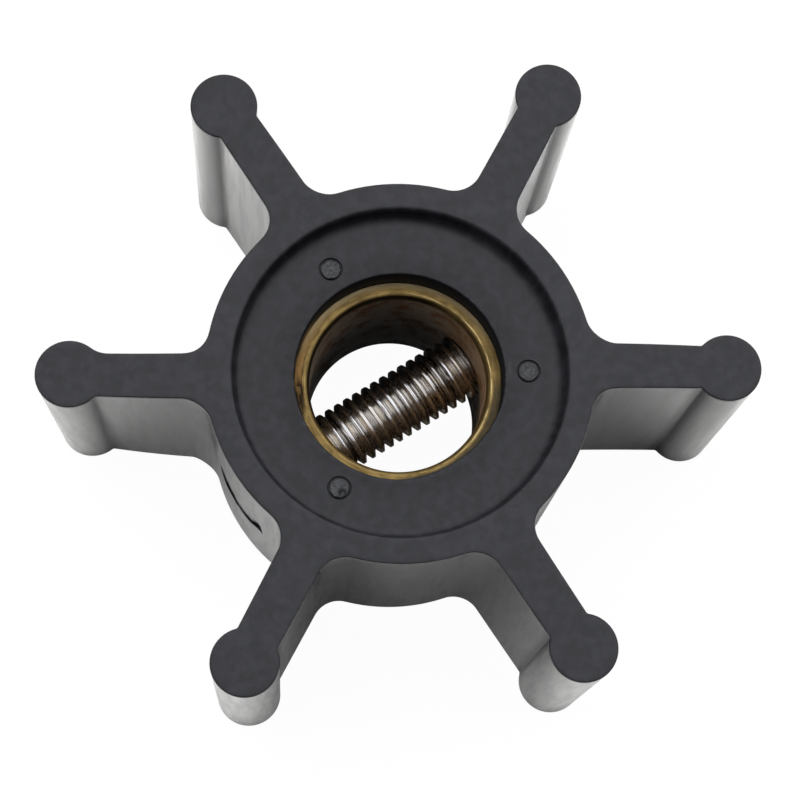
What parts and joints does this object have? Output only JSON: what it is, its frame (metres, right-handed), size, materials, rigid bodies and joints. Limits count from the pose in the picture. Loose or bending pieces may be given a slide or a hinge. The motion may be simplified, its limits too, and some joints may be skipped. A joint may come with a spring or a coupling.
{
  "type": "rubber pump impeller",
  "caption": "Flexible pump impeller: straight rubber blades with round beads on a round hub, bonded to a brass bush that a threaded drive screw crosses.",
  "frame": {"origin": "on the hub's axis, in the plane of the lower end faces", "axes": "+Z along the hub's axis towards the end with the gate marks; +X along the first blade"},
  "size_m": [0.051, 0.0448, 0.022],
  "materials": {
    "rubber": "satin moulded rubber",
    "brass": "dull machined",
    "steel": "bright rolled thread"
  },
  "bodies": {
    "root": {"impeller_body": "rubber", "hub_bush": "brass", "drive_screw": "steel"}
  },
  "joints": []
}
